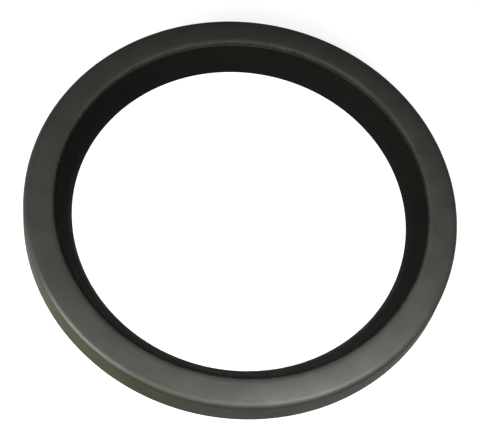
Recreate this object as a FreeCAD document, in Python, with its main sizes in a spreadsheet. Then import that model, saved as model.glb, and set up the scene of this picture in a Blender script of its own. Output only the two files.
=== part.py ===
import FreeCAD, Part
import math
import os
from collections import namedtuple

import Sketcher

# Radial shaft seal with a metal case, for a 110 mm shaft and a 140 mm housing bore, 12 mm wide.
# It lies on the free end of its case with its face up. The shaft's axis is +Z, the origin is on
# that axis in the plane of the free end, and every length is in millimetres.
# Three ring-shaped pieces: the pressed steel case, the rubber moulded on to its turned-in rim,
# and the garter spring that pulls the rubber lip on to the shaft.

SIZES = [
    ("shaft_diameter", 110.0, "shaft that the lip runs on"),
    ("section_depth", 15.0, "from the shaft to the housing bore, so the case is 140 mm across"),
    ("seal_width", 12.0, "height of the case, from its free end to its face"),
    ("sheet", 1.5, "thickness of the case's sheet steel"),
    ("corner_inner_radius", 0.5, "inside of the bend between the wall and the face"),
    ("lead_in_height", 1.8, "bevel at the wall's free end, along the axis"),
    ("lead_in_depth", 0.7, "the same bevel, across the wall"),
    ("rim_clearance", 4.1, "from the shaft to the case's turned-in rim, so its hole is 118.2 mm"),
    ("rim_inner_radius", 1.5, "inside of the bend between the face and the rim"),
    ("rim_straight", 0.4, "straight end of the rim below its bend"),
    ("lip_interference", 1.1, "free lip below the shaft's diameter"),
    ("lip_height", 2.8, "sealing edge above the case's free end"),
    ("lip_land", 0.3, "width of the sealing edge along the shaft"),
    ("lip_face_height", 3.2, "air face of the lip, along the axis"),
    ("air_angle", 25.0, "air face of the lip, from the shaft's axis, in degrees"),
    ("oil_angle", 45.0, "oil face of the lip, from the shaft's axis, in degrees"),
    ("knee_radius", 6.0, "air side, between the lip's air face and the membrane"),
    ("nose_recess", 0.5, "rubber nose above the case's free end"),
    ("nose_radius", 0.4, "edges of the rubber nose"),
    ("head_thickness", 1.95, "rubber between the sealing edge and the spring's groove"),
    ("coil_diameter", 3.0, "outside of the garter spring's coil"),
    ("coil_wire", 0.5, "wire of the garter spring"),
    ("spring_clearance", 0.05, "between the spring and its groove"),
    ("spring_offset", 0.5, "spring above the sealing edge, towards the air side"),
    ("groove_reach", 0.5, "groove's mouth beyond the middle of the spring"),
    ("shoulder_thickness", 0.45, "rubber above the spring's groove"),
    ("membrane_wall", 1.7, "flexing membrane above the lip, across the axis"),
    ("membrane_radius", 0.5, "hollow corners of the membrane's back"),
    ("rim_cover", 0.8, "rubber round the end of the case's rim"),
    ("skin_thickness", 0.8, "rubber skin under the face"),
    ("skin_width", 2.4, "rubber skin under the face, beyond the rim's bend"),
    ("bond_angle", 51.0, "where the rubber ends on the rim's bend, from the face, in degrees"),
    ("bond_step", 0.25, "rubber above the steel where it ends"),
]

# Places that more than one piece or corner uses, as expressions over the sheet.
SHAFT_RADIUS = "Sizes.shaft_diameter / 2"
CASE_RADIUS = f"({SHAFT_RADIUS} + Sizes.section_depth)"
WALL_INSIDE = f"({CASE_RADIUS} - Sizes.sheet)"
FACE = "Sizes.seal_width"
FACE_UNDERSIDE = f"({FACE} - Sizes.sheet)"
RIM_BORE = f"({SHAFT_RADIUS} + Sizes.rim_clearance)"
RIM_OUTSIDE = f"({RIM_BORE} + Sizes.sheet)"
RIM_BEND = "(Sizes.rim_inner_radius + Sizes.sheet)"
BEND_CENTRE_R = f"({RIM_BORE} + {RIM_BEND})"
BEND_CENTRE_Z = f"({FACE} - {RIM_BEND})"
RIM_END = f"({BEND_CENTRE_Z} - Sizes.rim_straight)"

LIP_RADIUS = f"({SHAFT_RADIUS} - Sizes.lip_interference / 2)"
LAND_TOP = "(Sizes.lip_height + Sizes.lip_land)"
KNEE_R = f"({LIP_RADIUS} + Sizes.lip_face_height * tan(Sizes.air_angle))"
KNEE_Z = f"({LAND_TOP} + Sizes.lip_face_height)"
BOND_REACH = f"({RIM_BEND} + Sizes.bond_step)"
BOND_R = f"({BEND_CENTRE_R} - {BOND_REACH} * sin(Sizes.bond_angle))"
BOND_Z = f"({BEND_CENTRE_Z} + {BOND_REACH} * cos(Sizes.bond_angle))"
MEMBRANE_SLOPE = f"(({BOND_R} - {KNEE_R}) / ({BOND_Z} - {KNEE_Z}))"

GROOVE_RADIUS = "(Sizes.coil_diameter / 2 + Sizes.spring_clearance)"
SPRING_R = f"({LIP_RADIUS} + Sizes.head_thickness + {GROOVE_RADIUS})"
SPRING_Z = "(Sizes.lip_height + Sizes.spring_offset)"
HEAD_BACK = f"({SPRING_R} + Sizes.groove_reach)"
SHOULDER = f"({SPRING_Z} + {GROOVE_RADIUS} + Sizes.shoulder_thickness)"

# A corner of an outline: its distance from the axis, its height and, where it is rounded, the radius.
Corner = namedtuple("Corner", "name r z round", defaults=[None])


def make_sheet(doc):
    """Spreadsheet of the driving dimensions, one alias each."""
    sheet = doc.addObject("Spreadsheet::Sheet", "Sizes")
    for row, (name, value, meaning) in enumerate(SIZES, start=1):
        sheet.set(f"A{row}", name)
        sheet.set(f"B{row}", str(value))
        sheet.set(f"C{row}", meaning)
        sheet.setAlias(f"B{row}", name)
    doc.recompute()


def make_body(doc, label):
    """Empty body with a label of its own."""
    body = doc.addObject("PartDesign::Body", label)
    body.Label = label
    body.Placement = FreeCAD.Placement()
    return body


def make_section(body, name):
    """Sketch in the body's XZ plane: its x is the distance from the axis and its y is the height."""
    plane = next(item for item in body.Origin.OriginFeatures if item.Role == "XZ_Plane")
    section = body.newObject("Sketcher::SketchObject", name)
    section.AttachmentSupport = [(plane, "")]
    section.MapMode = "FlatFace"
    return section


def spin(body, kind, name, section):
    """Turn a section once round the shaft's axis, as a Revolution or a Groove."""
    feature = body.newObject(f"PartDesign::{kind}", name)
    feature.Profile = section
    feature.ReferenceAxis = (section, ["V_Axis"])
    feature.Angle = 360.0
    body.Tip = feature
    return feature


def bind(section, constraint, name, expression):
    """Add a dimension and tie it to the sheet."""
    index = section.addConstraint(constraint)
    section.renameConstraint(index, name)
    section.setExpression(f"Constraints.{name}", expression)


def place_point(section, geometry, which, name, r, z):
    """Set a point's distance from the axis and its height."""
    here_r = section.evalExpression(r)
    here_z = section.evalExpression(z)
    across = Sketcher.Constraint("DistanceX", -1, 1, geometry, which, here_r)
    up = Sketcher.Constraint("DistanceY", -1, 1, geometry, which, here_z)
    bind(section, across, f"{name}_r", r)
    bind(section, up, f"{name}_z", z)


def round_off(before, here, after, radius):
    """Arc that rounds a corner: where it starts and ends, the arc itself and whether it runs forwards."""
    inward = (before - here).normalize()
    outward = (after - here).normalize()
    half = inward.getAngle(outward) / 2
    start = here + inward * (radius / math.tan(half))
    end = here + outward * (radius / math.tan(half))
    centre = here + (inward + outward).normalize() * (radius / math.sin(half))
    forwards = inward.cross(outward).z < 0
    first, last = (start, end) if forwards else (end, start)
    first_angle = math.atan2(first.y - centre.y, first.x - centre.x)
    last_angle = math.atan2(last.y - centre.y, last.x - centre.x)
    circle = Part.Circle(centre, FreeCAD.Vector(0, 0, 1), radius)
    return start, end, Part.ArcOfCircle(circle, first_angle, last_angle), forwards


def draw_outline(section, corners):
    """Closed outline of straight lines through the corners, with arcs where a corner is rounded."""
    points = [
        FreeCAD.Vector(section.evalExpression(corner.r), section.evalExpression(corner.z), 0)
        for corner in corners
    ]
    rounds = {}
    leaves = list(points)
    arrives = list(points)
    for number, corner in enumerate(corners):
        if corner.round is None:
            continue
        radius = section.evalExpression(corner.round)
        before = points[number - 1]
        after = points[(number + 1) % len(points)]
        start, end, arc, forwards = round_off(before, points[number], after, radius)
        arrives[number] = start
        leaves[number] = end
        rounds[number] = (arc, forwards, radius)

    count = len(points)
    lines = [
        section.addGeometry(Part.LineSegment(leaves[number], arrives[(number + 1) % count]))
        for number in range(count)
    ]
    for number, corner in enumerate(corners):
        line_in = lines[number - 1]
        line_out = lines[number]
        if number not in rounds:
            section.addConstraint(Sketcher.Constraint("Coincident", line_in, 2, line_out, 1))
            place_point(section, line_out, 1, corner.name, corner.r, corner.z)
            continue
        arc, forwards, radius = rounds[number]
        bend = section.addGeometry(arc)
        apex = section.addGeometry(Part.Point(points[number]), True)
        entry, leave = (1, 2) if forwards else (2, 1)
        section.addConstraint(Sketcher.Constraint("Tangent", line_in, 2, bend, entry))
        section.addConstraint(Sketcher.Constraint("Tangent", bend, leave, line_out, 1))
        section.addConstraint(Sketcher.Constraint("PointOnObject", apex, 1, line_in))
        section.addConstraint(Sketcher.Constraint("PointOnObject", apex, 1, line_out))
        place_point(section, apex, 1, corner.name, corner.r, corner.z)
        bind(section, Sketcher.Constraint("Radius", bend, radius), f"{corner.name}_round", corner.round)


def draw_circle(section, name, r, z, radius):
    """Circle of a given radius about a point of the section."""
    size = section.evalExpression(radius)
    middle = FreeCAD.Vector(section.evalExpression(r), section.evalExpression(z), 0)
    ring = section.addGeometry(Part.Circle(middle, FreeCAD.Vector(0, 0, 1), size))
    place_point(section, ring, 3, name, r, z)
    bind(section, Sketcher.Constraint("Radius", ring, size), f"{name}_radius", radius)


def make_steel_case(doc):
    """Case pressed from one sheet: a plain wall, a flat face and a rim turned down into the seal.

    The wall's free end has an outside bevel that leads it into the housing bore.
    """
    body = make_body(doc, "steel_case")
    section = make_section(body, "case_section")
    corners = [
        Corner("end_inside", WALL_INSIDE, "0"),
        Corner("end_bevel", f"{CASE_RADIUS} - Sizes.lead_in_depth", "0"),
        Corner("wall_foot", CASE_RADIUS, "Sizes.lead_in_height"),
        Corner("face_corner", CASE_RADIUS, FACE, "Sizes.corner_inner_radius + Sizes.sheet"),
        Corner("rim_bend", RIM_BORE, FACE, RIM_BEND),
        Corner("rim_end_bore", RIM_BORE, RIM_END),
        Corner("rim_end_back", RIM_OUTSIDE, RIM_END),
        Corner("rim_bend_inside", RIM_OUTSIDE, FACE_UNDERSIDE, "Sizes.rim_inner_radius"),
        Corner("corner_inside", WALL_INSIDE, FACE_UNDERSIDE, "Sizes.corner_inner_radius"),
    ]
    draw_outline(section, corners)
    spin(body, "Revolution", "case_ring", section)
    return body


def make_sealing_element(doc, steel_case):
    """Rubber moulded round the case's rim, with the membrane, the lip and the spring's groove.

    Its outline runs down the air side, over the sealing edge and up the back. It closes
    inside the steel, and the case is then cut out of it, so the two meet face to face.
    """
    body = make_body(doc, "rubber_blank")
    section = make_section(body, "rubber_section")
    inside_sheet = f"({FACE} - Sizes.sheet / 2)"
    inside_bend = "(Sizes.rim_inner_radius + Sizes.sheet / 2)"
    lip_at_shoulder = f"({LIP_RADIUS} + ({SHOULDER} - {LAND_TOP}) * tan(Sizes.air_angle))"
    bead_bottom = f"({RIM_END} - Sizes.rim_cover)"
    membrane_at_bead = f"({KNEE_R} + ({bead_bottom} - {KNEE_Z}) * {MEMBRANE_SLOPE})"
    waist = f"({lip_at_shoulder} + Sizes.membrane_wall)"
    bead_front = f"({membrane_at_bead} + Sizes.membrane_wall)"
    bead_back = f"({RIM_OUTSIDE} + Sizes.rim_cover)"
    skin_bottom = f"({FACE_UNDERSIDE} - Sizes.skin_thickness)"
    skin_end = f"({BEND_CENTRE_R} + Sizes.skin_width)"
    oil_face = "(Sizes.lip_height - Sizes.nose_recess) * tan(Sizes.oil_angle)"
    corners = [
        Corner("bond_edge", BOND_R, BOND_Z),
        Corner("knee", KNEE_R, KNEE_Z, "Sizes.knee_radius"),
        Corner("land_top", LIP_RADIUS, LAND_TOP),
        Corner("land_bottom", LIP_RADIUS, "Sizes.lip_height"),
        Corner("nose_front", f"{LIP_RADIUS} + {oil_face}", "Sizes.nose_recess", "Sizes.nose_radius"),
        Corner("nose_back", HEAD_BACK, "Sizes.nose_recess", "Sizes.nose_radius"),
        Corner("shoulder", HEAD_BACK, SHOULDER),
        Corner("waist", waist, SHOULDER, "Sizes.membrane_radius"),
        Corner("bead_root", bead_front, bead_bottom, "Sizes.membrane_radius"),
        Corner("bead_corner", bead_back, bead_bottom, "Sizes.rim_cover"),
        Corner("skin_root", bead_back, skin_bottom, "Sizes.membrane_radius"),
        Corner("skin_edge", skin_end, skin_bottom),
        Corner("skin_in_steel", skin_end, inside_sheet),
        Corner("bend_in_steel", BEND_CENTRE_R, inside_sheet),
        Corner(
            "bond_in_steel",
            f"{BEND_CENTRE_R} - {inside_bend} * sin(Sizes.bond_angle)",
            f"{BEND_CENTRE_Z} + {inside_bend} * cos(Sizes.bond_angle)",
        ),
    ]
    draw_outline(section, corners)
    spin(body, "Revolution", "rubber_ring", section)
    doc.recompute()

    groove = make_section(body, "groove_section")
    draw_circle(groove, "seat", SPRING_R, SPRING_Z, GROOVE_RADIUS)
    spin(body, "Groove", "spring_groove", groove)

    rubber = doc.addObject("Part::Cut", "sealing_element")
    rubber.Label = "sealing_element"
    rubber.Base = body
    rubber.Tool = steel_case
    rubber.Placement = FreeCAD.Placement()
    return rubber


def make_garter_spring(doc):
    """Close-wound coil spring joined into a ring, as the hollow envelope of its turns."""
    body = make_body(doc, "garter_spring")
    section = make_section(body, "coil_section")
    draw_circle(section, "coil_outside", SPRING_R, SPRING_Z, "Sizes.coil_diameter / 2")
    draw_circle(section, "coil_inside", SPRING_R, SPRING_Z, "Sizes.coil_diameter / 2 - Sizes.coil_wire")
    spin(body, "Revolution", "coil_ring", section)
    return body


def check(doc, pieces):
    """Stop if an object failed or a piece isn't one sound solid."""
    for item in doc.Objects:
        if "Invalid" in item.State or "Error" in item.State:
            raise RuntimeError(f"{item.Label} failed")
    for piece in pieces:
        if piece.Shape.isNull() or not piece.Shape.isValid():
            raise RuntimeError(f"{piece.Label} has no sound shape")
        if len(piece.Shape.Solids) != 1:
            raise RuntimeError(f"{piece.Label} isn't one solid")


def main():
    """Build the three pieces, check them and write each to its own file."""
    os.makedirs("parts", exist_ok=True)
    doc = FreeCAD.newDocument("shaft_seal")
    make_sheet(doc)
    steel_case = make_steel_case(doc)
    sealing_element = make_sealing_element(doc, steel_case)
    garter_spring = make_garter_spring(doc)
    doc.recompute()
    pieces = [steel_case, sealing_element, garter_spring]
    check(doc, pieces)
    for piece in pieces:
        piece.Shape.exportStep(f"parts/{piece.Label}.step")
        print(piece.Label, round(piece.Shape.Volume, 1), "mm3", piece.Shape.BoundBox)


main()
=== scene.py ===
import math

import bpy
from mathutils import Matrix, Vector


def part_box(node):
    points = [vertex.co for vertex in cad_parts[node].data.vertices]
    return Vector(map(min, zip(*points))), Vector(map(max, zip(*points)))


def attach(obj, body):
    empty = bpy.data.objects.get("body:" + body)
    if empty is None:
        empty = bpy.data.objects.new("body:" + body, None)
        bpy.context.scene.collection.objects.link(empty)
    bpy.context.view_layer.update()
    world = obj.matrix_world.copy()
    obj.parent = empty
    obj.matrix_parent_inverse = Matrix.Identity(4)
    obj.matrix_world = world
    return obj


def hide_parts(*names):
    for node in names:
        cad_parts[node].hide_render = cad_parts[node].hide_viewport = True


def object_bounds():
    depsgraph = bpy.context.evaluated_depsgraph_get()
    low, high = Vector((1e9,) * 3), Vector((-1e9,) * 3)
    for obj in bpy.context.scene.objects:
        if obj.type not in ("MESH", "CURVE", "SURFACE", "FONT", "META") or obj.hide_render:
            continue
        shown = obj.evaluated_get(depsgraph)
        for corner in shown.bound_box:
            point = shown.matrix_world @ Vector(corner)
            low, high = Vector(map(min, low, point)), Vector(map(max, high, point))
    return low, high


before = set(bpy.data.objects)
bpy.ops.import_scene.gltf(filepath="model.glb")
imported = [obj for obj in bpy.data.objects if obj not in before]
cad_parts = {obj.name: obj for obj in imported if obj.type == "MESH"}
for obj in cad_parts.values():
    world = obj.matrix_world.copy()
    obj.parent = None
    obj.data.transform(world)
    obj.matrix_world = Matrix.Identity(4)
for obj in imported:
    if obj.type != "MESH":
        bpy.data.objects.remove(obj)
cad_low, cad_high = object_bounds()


# Case: one ring deep-drawn from 1.5 mm sheet steel, with a plain wall that presses into the
# housing, a face that falls away a little toward its rounded corner, and a rim turned down into
# the rubber. It is phosphated dark grey and lightly oiled.

MM = 0.001
case_low, case_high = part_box("steel_case")
CASE_RADIUS = case_high.x
FREE_END = case_low.z
FACE = case_high.z
SHEET = 1.5 * MM
CORNER_ROUND = 2.0 * MM
CORNER_INNER_ROUND = 0.5 * MM
CROWN_START = 63.0 * MM
CROWN_END = 68.0 * MM
CROWN_TILT = math.radians(7)
LEAD_IN_HEIGHT = 1.8 * MM
LEAD_IN_DEPTH = 0.7 * MM
RIM_BORE = 59.1 * MM
RIM_INNER_ROUND = 1.5 * MM
RIM_STRAIGHT = 0.4 * MM
CUT_ROUND = 0.12 * MM


def linear(hex_colour):
    """Colour of a material, from its sRGB hex value."""
    channels = [int(hex_colour[place:place + 2], 16) / 255 for place in (1, 3, 5)]
    return tuple(c / 12.92 if c <= 0.04045 else ((c + 0.055) / 1.055) ** 2.4 for c in channels) + (1.0,)


def add(tree, kind, inputs=None, **settings):
    """Add a node to a tree, with its settings and, for each input, a value or the output that feeds it."""
    node = tree.nodes.new(kind)
    for name, value in settings.items():
        setattr(node, name, value)
    for name, value in (inputs or {}).items():
        if isinstance(value, bpy.types.NodeSocket):
            tree.links.new(value, node.inputs[name])
        else:
            node.inputs[name].default_value = value
    return node


def new_material(name):
    """Empty node material with its output, and its tree."""
    material = bpy.data.materials.new(name)
    material.use_nodes = True
    material.node_tree.nodes.clear()
    return material, material.node_tree


def finish_material(tree, shader, relief=None, depth=0.0):
    """Send the shader to the material's output, with a relief map pressed into its surface."""
    if relief is not None:
        bump = add(tree, "ShaderNodeBump", {"Height": relief, "Distance": depth, "Strength": 1.0})
        tree.links.new(bump.outputs["Normal"], shader.inputs["Normal"])
    add(tree, "ShaderNodeOutputMaterial", {"Surface": shader.outputs["BSDF"]})


def ring_coordinates(tree):
    """Object coordinates, the distance from the axis and the height."""
    place = add(tree, "ShaderNodeTexCoord").outputs["Object"]
    parts = add(tree, "ShaderNodeSeparateXYZ", {"Vector": place})
    flat = add(tree, "ShaderNodeCombineXYZ", {"X": parts.outputs["X"], "Y": parts.outputs["Y"]})
    radius = add(tree, "ShaderNodeVectorMath", {0: flat.outputs["Vector"]}, operation="LENGTH")
    return place, radius.outputs["Value"], parts.outputs["Z"]


def drawn_streaks(tree, place, radius, height, width, length):
    """Noise drawn out round the ring, width across it and length along it."""
    parts = add(tree, "ShaderNodeSeparateXYZ", {"Vector": place})
    flat = add(tree, "ShaderNodeCombineXYZ", {"X": parts.outputs["X"], "Y": parts.outputs["Y"]})
    heading = add(tree, "ShaderNodeVectorMath", {0: flat.outputs["Vector"]}, operation="NORMALIZE")
    along = add(
        tree, "ShaderNodeVectorMath",
        {0: heading.outputs["Vector"], "Scale": CASE_RADIUS / length},
        operation="SCALE",
    )
    across = add(tree, "ShaderNodeMath", {0: radius, 1: height}, operation="SUBTRACT")
    step = add(tree, "ShaderNodeMath", {0: across.outputs[0], 1: 1 / width}, operation="MULTIPLY")
    lifted = add(tree, "ShaderNodeCombineXYZ", {"Z": step.outputs[0]})
    stretched = add(
        tree, "ShaderNodeVectorMath",
        {0: along.outputs["Vector"], 1: lifted.outputs["Vector"]},
        operation="ADD",
    )
    noise = add(
        tree, "ShaderNodeTexNoise",
        {"Vector": stretched.outputs["Vector"], "Scale": 1.0, "Detail": 2.0, "Roughness": 0.55},
    )
    return noise.outputs["Fac"]


def mottled(tree, colour, patterns):
    """Colour shaded by patterns: each is a value, the range it is read over and the shades it gives."""
    for value, (low, high), (shade_low, shade_high) in patterns:
        shade = add(
            tree, "ShaderNodeMapRange",
            {"Value": value, "From Min": low, "From Max": high, "To Min": shade_low, "To Max": shade_high},
            interpolation_type="SMOOTHSTEP",
        )
        shaded = add(
            tree, "ShaderNodeVectorMath",
            {0: colour, "Scale": shade.outputs["Result"]},
            operation="SCALE",
        )
        colour = shaded.outputs["Vector"]
    return colour


def blended(tree, value, start, stop, before, after):
    """Colour that turns smoothly from one to another while a value runs between two marks."""
    share = add(
        tree, "ShaderNodeMapRange",
        {"Value": value, "From Min": start, "From Max": stop},
        interpolation_type="SMOOTHSTEP",
    )
    return add(
        tree, "ShaderNodeMix",
        {0: share.outputs["Result"], 6: before, 7: after},
        data_type="RGBA",
    ).outputs[2]


def phosphated_steel():
    """Manganese phosphate on drawn sheet: a dark crystalline coat with an oil film.

    To the eye it is nearly black with a broad soft sheen: half of that is the matt body of the
    crystals and half the steel's own shine through the oil, so the metallic value stands between
    the two. It is blotchy where the coat grew unevenly and drawn out in fine rings. The wall is
    painted darker than the face, as painted shade. From left to right the wall goes from a pale
    grey through olive to dark grey, and its left part is painted brighter; the pale grey and that
    brightening are a painted highlight. A film of rubber that ran out of the mould's edge covers
    the rim's bend with a soft, uneven edge.

    The real crystals are some hundredths of a millimetre and the drawing rings a tenth, and both
    are drawn as coarse as they need to show.
    """
    material, tree = new_material("phosphated_steel")
    place, radius, height = ring_coordinates(tree)
    sideways = add(tree, "ShaderNodeSeparateXYZ", {"Vector": place}).outputs["X"]
    blotch_size = 9.0 * MM
    crystal_size = 0.35 * MM
    run_size = 1.6 * MM
    streak_width = 0.22 * MM
    streak_length = 14.0 * MM
    streak_depth = 0.004 * MM
    wall_from = CASE_RADIUS - 0.7 * MM
    wall_full = CASE_RADIUS - 0.05 * MM
    # Across the wall from left to right: a pale grey that is a painted highlight, then olive, then dark
    # grey; the left part is also painted brighter, more painted highlight.
    painted_highlight_grey_until = -58.0 * MM
    olive_from = -42.0 * MM
    olive_until = -18.0 * MM
    grey_from = 12.0 * MM
    painted_highlight_full_until = -40.0 * MM
    painted_highlight_gone_from = -15.0 * MM
    film_edge = RIM_BORE + 1.45 * MM
    film_fade = 0.7 * MM
    film_run = 0.6 * MM
    blotches, crystals, runs = (
        add(
            tree, "ShaderNodeTexNoise",
            {"Vector": place, "Scale": 1 / size, "Detail": detail},
        ).outputs["Fac"]
        for size, detail in ((blotch_size, 3.0), (crystal_size, 2.0), (run_size, 2.0))
    )
    streaks = drawn_streaks(tree, place, radius, height, streak_width, streak_length)
    ragged_radius = add(
        tree, "ShaderNodeMath",
        {0: runs, 1: film_run, 2: radius},
        operation="MULTIPLY_ADD",
    )
    # Wall colours by their place left to right: olive to dark grey, a pale grey painted highlight at the
    # far left, and a painted highlight that brightens the left part.
    wall_tone_with_painted_light = blended(tree, sideways, olive_until, grey_from, linear("#363628"), linear("#34332f"))
    wall_tone_with_painted_light = blended(tree, sideways, painted_highlight_grey_until, olive_from, linear("#3d3d37"), wall_tone_with_painted_light)
    wall_tone_with_painted_light = mottled(tree, wall_tone_with_painted_light, [(sideways, (painted_highlight_full_until, painted_highlight_gone_from), (1.45, 1.0))])
    # The wall is painted darker than the face: painted shade for the dimmer light on the wall, which faces
    # sideways.
    coat = blended(tree, radius, wall_from, wall_full, linear("#4f504b"), wall_tone_with_painted_light)
    shader = add(
        tree, "ShaderNodeBsdfPrincipled",
        {
            "Base Color": mottled(tree, coat, [
                (blotches, (0.3, 0.7), (0.92, 1.08)),
                (streaks, (0.25, 0.75), (0.95, 1.05)),
                (crystals, (0.25, 0.75), (0.94, 1.06)),
                (ragged_radius.outputs[0], (film_edge, film_edge + film_fade), (0.25, 1.0)),
            ]),
            "Roughness": 0.48,
            "Metallic": 0.546,
            "Specular IOR Level": 0.0,
            "Specular Tint": linear("#d9d9d9"),
        },
    )
    finish_material(tree, shader, relief=streaks, depth=streak_depth)
    return material


def arc(middle, radius, start, stop):
    """Corners (out, up, 0) along an arc about a middle point, between two angles in radians."""
    widest_step = math.radians(8)
    fewest_steps = 3
    steps = max(fewest_steps, math.ceil(abs(stop - start) / widest_step))
    turns = [start + (stop - start) * step / steps for step in range(steps + 1)]
    return [
        (middle[0] + radius * math.cos(turn), middle[1] + radius * math.sin(turn), 0)
        for turn in turns
    ]


def rounded(corners):
    """Outline through corners (out, up, radius), each one turned by an arc of its own radius."""
    points = []
    for place, (out, up, radius) in enumerate(corners):
        corner = Vector((out, up))
        if radius == 0:
            points.append(corner)
            continue
        before = (Vector(corners[place - 1][:2]) - corner).normalized()
        after = (Vector(corners[(place + 1) % len(corners)][:2]) - corner).normalized()
        half = before.angle(after) / 2
        middle = corner + (before + after).normalized() * radius / math.sin(half)
        first = corner + before * radius / math.tan(half) - middle
        last = corner + after * radius / math.tan(half) - middle
        start = math.atan2(first.y, first.x)
        sweep = (math.atan2(last.y, last.x) - start + math.pi) % math.tau - math.pi
        points += [Vector(spot[:2]) for spot in arc(middle, radius, start, start + sweep)]
    return points


def ring_tree():
    """Geometry Nodes that sweep a section round the axis.

    The section's x is the distance out from the guide circle and its y runs down. Where it carries
    a value named ragged, the ring's points wander along the given slope by an uneven amount.
    """
    tree = bpy.data.node_groups.new("sweep_ring", "GeometryNodeTree")
    for name, kind in (
        ("Section", "NodeSocketObject"),
        ("Guide Radius", "NodeSocketFloat"),
        ("Steps", "NodeSocketInt"),
        ("Crease Angle", "NodeSocketFloat"),
        ("Rag Reach", "NodeSocketFloat"),
        ("Rag Slope", "NodeSocketFloat"),
        ("Rag Size", "NodeSocketFloat"),
        ("Finish", "NodeSocketMaterial"),
    ):
        tree.interface.new_socket(name, in_out="INPUT", socket_type=kind)
    tree.interface.new_socket("Geometry", in_out="OUTPUT", socket_type="NodeSocketGeometry")
    given = add(tree, "NodeGroupInput").outputs
    section = add(tree, "GeometryNodeObjectInfo", {"Object": given["Section"]})
    profile = add(tree, "GeometryNodeMeshToCurve", {"Mesh": section.outputs["Geometry"]})
    guide = add(
        tree, "GeometryNodeCurvePrimitiveCircle",
        {"Resolution": given["Steps"], "Radius": given["Guide Radius"]},
    )
    swept = add(
        tree, "GeometryNodeCurveToMesh",
        {"Curve": guide.outputs["Curve"], "Profile Curve": profile.outputs["Curve"]},
    )
    place = add(tree, "GeometryNodeInputPosition").outputs["Position"]
    parts = add(tree, "ShaderNodeSeparateXYZ", {"Vector": place})
    flat = add(tree, "ShaderNodeCombineXYZ", {"X": parts.outputs["X"], "Y": parts.outputs["Y"]})
    outward = add(tree, "ShaderNodeVectorMath", {0: flat.outputs["Vector"]}, operation="NORMALIZE")
    fineness = add(tree, "ShaderNodeMath", {0: 1.0, 1: given["Rag Size"]}, operation="DIVIDE")
    unevenness = add(
        tree, "ShaderNodeTexNoise",
        {"Vector": place, "Scale": fineness.outputs[0], "Detail": 3.0, "Roughness": 0.6},
    )
    centred = add(tree, "ShaderNodeMath", {0: unevenness.outputs["Fac"], 1: 0.5}, operation="SUBTRACT")
    ragged = add(tree, "GeometryNodeInputNamedAttribute", {"Name": "ragged"}, data_type="FLOAT")
    held = add(
        tree, "ShaderNodeMath",
        {0: centred.outputs[0], 1: ragged.outputs["Attribute"]},
        operation="MULTIPLY",
    )
    reach = add(
        tree, "ShaderNodeMath",
        {0: held.outputs[0], 1: given["Rag Reach"]},
        operation="MULTIPLY",
    )
    slope_out = add(tree, "ShaderNodeMath", {0: given["Rag Slope"]}, operation="COSINE")
    slope_up = add(tree, "ShaderNodeMath", {0: given["Rag Slope"]}, operation="SINE")
    level_part = add(
        tree, "ShaderNodeVectorMath",
        {0: outward.outputs["Vector"], "Scale": slope_out.outputs[0]},
        operation="SCALE",
    )
    rise_part = add(tree, "ShaderNodeCombineXYZ", {"Z": slope_up.outputs[0]})
    along = add(
        tree, "ShaderNodeVectorMath",
        {0: level_part.outputs["Vector"], 1: rise_part.outputs["Vector"]},
        operation="ADD",
    )
    shift = add(
        tree, "ShaderNodeVectorMath",
        {0: along.outputs["Vector"], "Scale": reach.outputs[0]},
        operation="SCALE",
    )
    moved = add(
        tree, "GeometryNodeSetPosition",
        {"Geometry": swept.outputs["Mesh"], "Offset": shift.outputs["Vector"]},
    )
    angle = add(tree, "GeometryNodeInputMeshEdgeAngle")
    flowing = add(
        tree, "FunctionNodeCompare",
        {"A": angle.outputs["Unsigned Angle"], "B": given["Crease Angle"]},
        data_type="FLOAT", operation="LESS_THAN",
    )
    smooth = add(
        tree, "GeometryNodeSetShadeSmooth",
        {"Geometry": moved.outputs["Geometry"]},
        domain="FACE",
    )
    creased = add(
        tree, "GeometryNodeSetShadeSmooth",
        {"Geometry": smooth.outputs["Geometry"], "Shade Smooth": flowing.outputs["Result"]},
        domain="EDGE",
    )
    real = add(tree, "GeometryNodeRealizeInstances", {"Geometry": creased.outputs["Geometry"]})
    coated = add(
        tree, "GeometryNodeSetMaterial",
        {"Geometry": real.outputs["Geometry"], "Material": given["Finish"]},
    )
    add(tree, "NodeGroupOutput", {"Geometry": coated.outputs["Geometry"]})
    return tree


def grown(name, tree, values):
    """Plain mesh object that a Geometry Nodes tree makes with the given input values."""
    seed = bpy.data.objects.new(name + "_seed", bpy.data.meshes.new(name + "_seed"))
    bpy.context.scene.collection.objects.link(seed)
    modifier = seed.modifiers.new("grow", "NODES")
    modifier.node_group = tree
    for item in tree.interface.items_tree:
        if item.item_type == "SOCKET" and item.in_out == "INPUT" and item.name in values:
            modifier[item.identifier] = values[item.name]
    evaluated = seed.evaluated_get(bpy.context.evaluated_depsgraph_get())
    mesh = bpy.data.meshes.new_from_object(evaluated)
    piece = bpy.data.objects.new(name, mesh)
    bpy.context.scene.collection.objects.link(piece)
    bpy.data.objects.remove(seed)
    return piece


def swept_ring(name, outline, ragged, values):
    """Ring with the outline, given as (out, up) points, as its section."""
    guide = values["Guide Radius"]
    mesh = bpy.data.meshes.new(name + "_section")
    count = len(outline)
    mesh.from_pydata(
        [(point.x - guide, -point.y, 0) for point in outline],
        [(place, (place + 1) % count) for place in range(count)],
        [],
    )
    marks = mesh.attributes.new("ragged", "FLOAT", "POINT")
    for place in ragged:
        marks.data[place].value = 1.0
    section = bpy.data.objects.new(name + "_section", mesh)
    bpy.context.scene.collection.objects.link(section)
    ring = grown(name, SWEEP, values | {"Section": section})
    bpy.data.objects.remove(section)
    return ring


SWEEP = ring_tree()
STEPS = 360
CREASE = math.radians(30)

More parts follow.
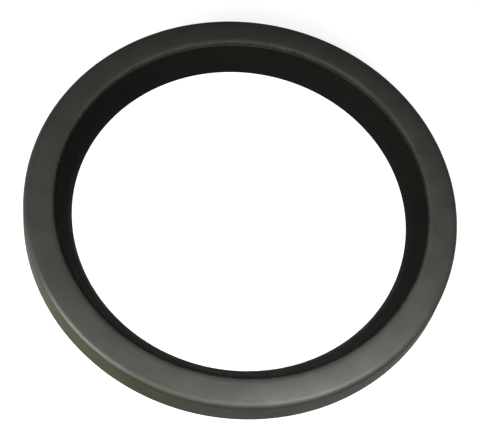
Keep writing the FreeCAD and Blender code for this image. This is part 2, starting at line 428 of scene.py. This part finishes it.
RIM_OUTER_ROUND = RIM_INNER_ROUND + SHEET
RIM_END = FACE - RIM_OUTER_ROUND - RIM_STRAIGHT
UNDER_FACE = FACE - SHEET
CROWN_OUT = (CROWN_START + CROWN_END) / 2
CROWN_ROUND = (CROWN_OUT - CROWN_START) / math.tan(CROWN_TILT / 2)
CORNER_UP = FACE - (CASE_RADIUS - CROWN_OUT) * math.tan(CROWN_TILT)
case_outline = rounded([
    (CASE_RADIUS - SHEET, FREE_END, CUT_ROUND),
    (CASE_RADIUS - SHEET, UNDER_FACE, CORNER_INNER_ROUND),
    (RIM_BORE + SHEET, UNDER_FACE, RIM_INNER_ROUND),
    (RIM_BORE + SHEET, RIM_END, CUT_ROUND),
    (RIM_BORE, RIM_END, CUT_ROUND),
    (RIM_BORE, FACE, RIM_OUTER_ROUND),
    (CROWN_OUT, FACE, CROWN_ROUND),
    (CASE_RADIUS, CORNER_UP, CORNER_ROUND),
    (CASE_RADIUS, FREE_END + LEAD_IN_HEIGHT, CUT_ROUND),
    (CASE_RADIUS - LEAD_IN_DEPTH, FREE_END, CUT_ROUND),
])
case_ring = swept_ring("case_ring", case_outline, [], {
    "Guide Radius": CASE_RADIUS,
    "Steps": STEPS,
    "Crease Angle": CREASE,
    "Rag Size": MM,
    "Finish": phosphated_steel(),
})
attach(case_ring, "root")
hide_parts("steel_case")


# Sealing element: black nitrile rubber, moulded and bonded on to the case's rim in one shot.
# Its air side runs from the rim down a thin membrane to the sealing edge, and behind the edge a
# groove holds the garter spring. A skin of rubber is left on the inside of the case's face.

def moulded_nitrile():
    """Carbon-filled nitrile rubber, moulded: matt black with a faint satin sheen.

    The turned mould leaves fine rings round the lip, drawn here as coarse as they need to show,
    and the rubber's skin is a little uneven.
    """
    material, tree = new_material("moulded_nitrile")
    place, radius, height = ring_coordinates(tree)
    patch_size = 4.0 * MM
    ring_width = 0.18 * MM
    ring_length = 20.0 * MM
    ring_depth = 0.003 * MM
    patches = add(
        tree, "ShaderNodeTexNoise",
        {"Vector": place, "Scale": 1 / patch_size, "Detail": 3.0},
    ).outputs["Fac"]
    rings = drawn_streaks(tree, place, radius, height, ring_width, ring_length)
    roughness = add(
        tree, "ShaderNodeMapRange",
        {"Value": patches, "From Min": 0.3, "From Max": 0.7, "To Min": 0.66, "To Max": 0.74},
        interpolation_type="SMOOTHSTEP",
    )
    shader = add(
        tree, "ShaderNodeBsdfPrincipled",
        {
            "Base Color": mottled(tree, linear("#121310")[:3], [
                (patches, (0.3, 0.7), (0.88, 1.12)),
                (rings, (0.25, 0.75), (0.92, 1.08)),
            ]),
            "Roughness": roughness.outputs["Result"],
            "IOR": 1.52,
            "Specular IOR Level": 0.02,
        },
    )
    finish_material(tree, shader, relief=rings, depth=ring_depth)
    return material


ring_low, ring_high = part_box("garter_spring")
COIL_OUTSIDE = ring_high.z - ring_low.z
SPRING_RADIUS = ring_high.x - COIL_OUTSIDE / 2
SPRING_HEIGHT = (ring_low.z + ring_high.z) / 2

LIP_RADIUS = 54.45 * MM
LIP_HEIGHT = 2.8 * MM
LIP_LAND = 0.3 * MM
LIP_FACE_HEIGHT = 3.2 * MM
AIR_ANGLE = math.radians(25)
OIL_ANGLE = math.radians(45)
KNEE_ROUND = 6.0 * MM
NOSE_RECESS = 0.5 * MM
NOSE_ROUND = 0.4 * MM
GROOVE_REACH = 0.5 * MM
GROOVE_PLAY = 0.05 * MM
GROOVE_RADIUS = COIL_OUTSIDE / 2 + GROOVE_PLAY
SHOULDER = 0.45 * MM
MEMBRANE = 1.7 * MM
MEMBRANE_ROUND = 0.5 * MM
RIM_COVER = 0.8 * MM
SKIN = 0.8 * MM
SKIN_WIDTH = 2.4 * MM
BOND_TURN = math.radians(51)
BOND_STEP = 0.25 * MM
BOND_NEARNESS = 1.5 * BOND_STEP
RAG_REACH = 0.45 * MM
RAG_SIZE = 2.2 * MM

BEND_OUT = RIM_BORE + RIM_OUTER_ROUND
BEND_UP = FACE - RIM_OUTER_ROUND
BOND_REACH = RIM_OUTER_ROUND + BOND_STEP
BOND_OUT = BEND_OUT - BOND_REACH * math.sin(BOND_TURN)
BOND_UP = BEND_UP + BOND_REACH * math.cos(BOND_TURN)
LAND_TOP = LIP_HEIGHT + LIP_LAND
KNEE_OUT = LIP_RADIUS + LIP_FACE_HEIGHT * math.tan(AIR_ANGLE)
KNEE_UP = LAND_TOP + LIP_FACE_HEIGHT
HEAD_BACK = SPRING_RADIUS + GROOVE_REACH
SHOULDER_UP = SPRING_HEIGHT + GROOVE_RADIUS + SHOULDER
WAIST_OUT = LIP_RADIUS + (SHOULDER_UP - LAND_TOP) * math.tan(AIR_ANGLE) + MEMBRANE
BEAD_UP = RIM_END - RIM_COVER
MEMBRANE_SLOPE = (BOND_OUT - KNEE_OUT) / (BOND_UP - KNEE_UP)
BEAD_FRONT = KNEE_OUT + (BEAD_UP - KNEE_UP) * MEMBRANE_SLOPE + MEMBRANE
BEAD_BACK = RIM_BORE + SHEET + RIM_COVER
SKIN_EDGE = BEND_OUT + SKIN_WIDTH
MOUTH = math.acos(GROOVE_REACH / GROOVE_RADIUS)
element_outline = rounded([
    (SKIN_EDGE, UNDER_FACE, 0),
    (SKIN_EDGE, UNDER_FACE - SKIN, CUT_ROUND),
    (BEAD_BACK, UNDER_FACE - SKIN, MEMBRANE_ROUND),
    (BEAD_BACK, BEAD_UP, RIM_COVER),
    (BEAD_FRONT, BEAD_UP, MEMBRANE_ROUND),
    (WAIST_OUT, SHOULDER_UP, MEMBRANE_ROUND),
    (HEAD_BACK, SHOULDER_UP, CUT_ROUND),
    *arc((SPRING_RADIUS, SPRING_HEIGHT), GROOVE_RADIUS, MOUTH, math.tau - MOUTH),
    (HEAD_BACK, NOSE_RECESS, NOSE_ROUND),
    (LIP_RADIUS + (LIP_HEIGHT - NOSE_RECESS) * math.tan(OIL_ANGLE), NOSE_RECESS, NOSE_ROUND),
    (LIP_RADIUS, LIP_HEIGHT, 0),
    (LIP_RADIUS, LAND_TOP, 0),
    (KNEE_OUT, KNEE_UP, KNEE_ROUND),
    (BOND_OUT, BOND_UP, 0),
    *arc((BEND_OUT, BEND_UP), RIM_OUTER_ROUND, math.pi / 2 + BOND_TURN, math.pi),
    (RIM_BORE, RIM_END, 0),
    (RIM_BORE + SHEET, RIM_END, 0),
    (RIM_BORE + SHEET, UNDER_FACE, RIM_INNER_ROUND),
])
bond_edge = Vector((BOND_OUT, BOND_UP))
bond_places = [
    place for place, point in enumerate(element_outline)
    if (point - bond_edge).length < BOND_NEARNESS
]
element_ring = swept_ring("element_ring", element_outline, bond_places, {
    "Guide Radius": LIP_RADIUS,
    "Steps": STEPS,
    "Crease Angle": CREASE,
    "Rag Reach": RAG_REACH,
    "Rag Slope": BOND_TURN,
    "Rag Size": RAG_SIZE,
    "Finish": moulded_nitrile(),
})
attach(element_ring, "root")
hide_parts("sealing_element")


# Garter spring: close-wound coil of 0.5 mm spring wire, joined into a ring and sprung into the
# groove behind the lip, which it pulls on to the shaft.

WIRE = 0.5 * MM
WIRE_GAP = 0.02 * MM
COIL_RADIUS = (COIL_OUTSIDE - WIRE) / 2
TURNS = int(math.tau * (SPRING_RADIUS - COIL_RADIUS) / (WIRE + WIRE_GAP))


def spring_wire():
    """Hard-drawn spring wire: bright grey steel, in places dulled brown by its oil film."""
    material, tree = new_material("spring_wire")
    place = add(tree, "ShaderNodeTexCoord").outputs["Object"]
    film_size = 2.5 * MM
    film = add(
        tree, "ShaderNodeTexNoise",
        {"Vector": place, "Scale": 1 / film_size, "Detail": 3.0},
    ).outputs["Fac"]
    dulled = add(
        tree, "ShaderNodeMapRange",
        {"Value": film, "From Min": 0.4, "From Max": 0.7},
        interpolation_type="SMOOTHSTEP",
    ).outputs["Result"]
    tone = add(
        tree, "ShaderNodeMix",
        {0: dulled, 6: linear("#8d8a84"), 7: linear("#746c60")},
        data_type="RGBA",
    )
    roughness = add(
        tree, "ShaderNodeMapRange",
        {"Value": dulled, "To Min": 0.26, "To Max": 0.38},
        interpolation_type="SMOOTHSTEP",
    )
    shader = add(
        tree, "ShaderNodeBsdfPrincipled",
        {
            "Base Color": tone.outputs[2],
            "Roughness": roughness.outputs["Result"],
            "Metallic": 1.0,
        },
    )
    finish_material(tree, shader)
    return material


def coil_tree():
    """Geometry Nodes that wind a wire round a ring, as many turns as asked, and join its ends."""
    tree = bpy.data.node_groups.new("wind_garter_spring", "GeometryNodeTree")
    for name, kind in (
        ("Ring Radius", "NodeSocketFloat"),
        ("Ring Height", "NodeSocketFloat"),
        ("Coil Radius", "NodeSocketFloat"),
        ("Wire Radius", "NodeSocketFloat"),
        ("Turns", "NodeSocketInt"),
        ("Points per Turn", "NodeSocketInt"),
        ("Wire Sides", "NodeSocketInt"),
        ("Finish", "NodeSocketMaterial"),
    ):
        tree.interface.new_socket(name, in_out="INPUT", socket_type=kind)
    tree.interface.new_socket("Geometry", in_out="OUTPUT", socket_type="NodeSocketGeometry")
    given = add(tree, "NodeGroupInput").outputs
    count = add(
        tree, "ShaderNodeMath",
        {0: given["Turns"], 1: given["Points per Turn"]},
        operation="MULTIPLY",
    )
    path = add(tree, "GeometryNodeCurvePrimitiveCircle", {"Resolution": count.outputs[0], "Radius": 1.0})
    index = add(tree, "GeometryNodeInputIndex").outputs["Index"]
    share = add(tree, "ShaderNodeMath", {0: index, 1: count.outputs[0]}, operation="DIVIDE")
    turn = add(tree, "ShaderNodeMath", {0: share.outputs[0], 1: math.tau}, operation="MULTIPLY")
    phase = add(tree, "ShaderNodeMath", {0: turn.outputs[0], 1: given["Turns"]}, operation="MULTIPLY")
    outward = add(tree, "ShaderNodeMath", {0: phase.outputs[0]}, operation="COSINE")
    upward = add(tree, "ShaderNodeMath", {0: phase.outputs[0]}, operation="SINE")
    reach = add(
        tree, "ShaderNodeMath",
        {0: outward.outputs[0], 1: given["Coil Radius"], 2: given["Ring Radius"]},
        operation="MULTIPLY_ADD",
    )
    height = add(
        tree, "ShaderNodeMath",
        {0: upward.outputs[0], 1: given["Coil Radius"], 2: given["Ring Height"]},
        operation="MULTIPLY_ADD",
    )
    east = add(tree, "ShaderNodeMath", {0: turn.outputs[0]}, operation="COSINE")
    north = add(tree, "ShaderNodeMath", {0: turn.outputs[0]}, operation="SINE")
    x = add(tree, "ShaderNodeMath", {0: east.outputs[0], 1: reach.outputs[0]}, operation="MULTIPLY")
    y = add(tree, "ShaderNodeMath", {0: north.outputs[0], 1: reach.outputs[0]}, operation="MULTIPLY")
    spot = add(
        tree, "ShaderNodeCombineXYZ",
        {"X": x.outputs[0], "Y": y.outputs[0], "Z": height.outputs[0]},
    )
    wound = add(
        tree, "GeometryNodeSetPosition",
        {"Geometry": path.outputs["Curve"], "Position": spot.outputs["Vector"]},
    )
    section = add(
        tree, "GeometryNodeCurvePrimitiveCircle",
        {"Resolution": given["Wire Sides"], "Radius": given["Wire Radius"]},
    )
    wire = add(
        tree, "GeometryNodeCurveToMesh",
        {"Curve": wound.outputs["Geometry"], "Profile Curve": section.outputs["Curve"]},
    )
    smooth = add(tree, "GeometryNodeSetShadeSmooth", {"Geometry": wire.outputs["Mesh"]})
    real = add(tree, "GeometryNodeRealizeInstances", {"Geometry": smooth.outputs["Geometry"]})
    coated = add(
        tree, "GeometryNodeSetMaterial",
        {"Geometry": real.outputs["Geometry"], "Material": given["Finish"]},
    )
    add(tree, "NodeGroupOutput", {"Geometry": coated.outputs["Geometry"]})
    return tree


coil = grown("garter_coil", coil_tree(), {
    "Ring Radius": SPRING_RADIUS,
    "Ring Height": SPRING_HEIGHT,
    "Coil Radius": COIL_RADIUS,
    "Wire Radius": WIRE / 2,
    "Turns": TURNS,
    "Points per Turn": 12,
    "Wire Sides": 6,
    "Finish": spring_wire(),
})
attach(coil, "root")
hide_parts("garter_spring")


# Table: a plain matt white board. It lies just under the seal's free end and runs far enough to
# fill the view from every side.

TABLE_SIZE = 6.0
TABLE_GAP = 0.02 * MM


def white_board():
    """Matt white laminate: it shows white to the camera and keeps the seal's soft shadow."""
    material, tree = new_material("white_board")
    white_lift = 0.88
    seen = add(tree, "ShaderNodeLightPath")
    camera_or_gloss = add(
        tree, "ShaderNodeMath",
        {0: seen.outputs["Is Camera Ray"], 1: seen.outputs["Is Glossy Ray"]},
        operation="MAXIMUM",
    )
    shown = add(
        tree, "ShaderNodeMath",
        {0: camera_or_gloss.outputs[0], 1: seen.outputs["Is Transmission Ray"]},
        operation="MAXIMUM",
    )
    lift = add(tree, "ShaderNodeMath", {0: shown.outputs[0], 1: white_lift}, operation="MULTIPLY")
    shader = add(
        tree, "ShaderNodeBsdfPrincipled",
        {
            "Base Color": linear("#bcbcbc"),
            "Roughness": 0.9,
            "Specular IOR Level": 0.0,
            "Emission Color": linear("#ffffff"),
            "Emission Strength": lift.outputs[0],
        },
    )
    finish_material(tree, shader)
    return material


board_mesh = bpy.data.meshes.new("table")
half = TABLE_SIZE / 2
board_mesh.from_pydata(
    [(-half, -half, 0), (half, -half, 0), (half, half, 0), (-half, half, 0)],
    [],
    [(0, 1, 2, 3)],
)
table = bpy.data.objects.new("table", board_mesh)
table.location.z = cad_low.z - TABLE_GAP
table.data.materials.append(white_board())
bpy.context.scene.collection.objects.link(table)


# Camera: a long lens, looking steeply down on the seal from its near side. It is a little rolled,
# and aimed so that the seal stands in the frame as in the photograph.

CAMERA_TILT = math.radians(27.58)
CAMERA_ROLL = math.radians(12.64)
CAMERA_DISTANCE = 0.56
CAMERA_LENS = 131.15
AIM_RIGHT = -1.0 * MM
AIM_UP = -5.84 * MM

back = Vector((0, -math.sin(CAMERA_TILT), math.cos(CAMERA_TILT)))
level = Vector((1, 0, 0))
climb = Vector((0, math.cos(CAMERA_TILT), math.sin(CAMERA_TILT)))
right = math.cos(CAMERA_ROLL) * level + math.sin(CAMERA_ROLL) * climb
up = -math.sin(CAMERA_ROLL) * level + math.cos(CAMERA_ROLL) * climb

camera = bpy.data.objects.new("camera", bpy.data.cameras.new("camera"))
camera.data.lens = CAMERA_LENS
camera.matrix_world = Matrix.Translation(
    Vector((0, 0, cad_high.z)) + CAMERA_DISTANCE * back + AIM_RIGHT * right + AIM_UP * up
) @ Matrix((right, up, back)).transposed().to_4x4()
bpy.context.scene.collection.objects.link(camera)
bpy.context.scene.camera = camera


# Light: three soft boxes close above the near side, one left and two right, so that the face grows
# dark away from the camera, a low one at the left for the highlight on the corner, and a weak one
# overhead.

def soft_box(name, azimuth, elevation, distance, width, height, brightness):
    """Lamp facing the seal: its direction from the seal in degrees, its size and its radiance."""
    data = bpy.data.lights.new(name, "AREA")
    data.shape = "RECTANGLE"
    data.size = width
    data.size_y = height
    data.energy = math.pi * width * height * brightness
    turn = math.radians(azimuth)
    rise = math.radians(elevation)
    away = Vector((math.cos(rise) * math.cos(turn), math.cos(rise) * math.sin(turn), math.sin(rise)))
    side = Vector((-math.sin(turn), math.cos(turn), 0))
    lamp = bpy.data.objects.new(name, data)
    lamp.matrix_world = Matrix.Translation(distance * away) @ Matrix(
        (side, away.cross(side), away)
    ).transposed().to_4x4()
    lamp.visible_camera = False
    bpy.context.scene.collection.objects.link(lamp)


for name, azimuth, elevation, distance, width, height, brightness in (
    ("near_left", 255, 40, 0.165, 0.12, 0.08, 2.6),
    ("near_right", 315, 42, 0.165, 0.12, 0.08, 5.6),
    ("near_right_high", 312, 52, 0.13, 0.06, 0.05, 8.0),
    ("low_left", 220, 22, 0.30, 0.12, 0.16, 13.6),
    ("overhead", 90, 82, 0.50, 0.40, 0.08, 1.8),
):
    soft_box(name, azimuth, elevation, distance, width, height, brightness)

world = bpy.data.worlds.new("room")
world.use_nodes = True
world.node_tree.nodes.clear()
room = add(world.node_tree, "ShaderNodeBackground", {"Color": linear("#ffffff"), "Strength": 0.0})
add(world.node_tree, "ShaderNodeOutputWorld", {"Surface": room.outputs["Background"]})
bpy.context.scene.world = world
bpy.context.scene.view_settings.view_transform = "Standard"
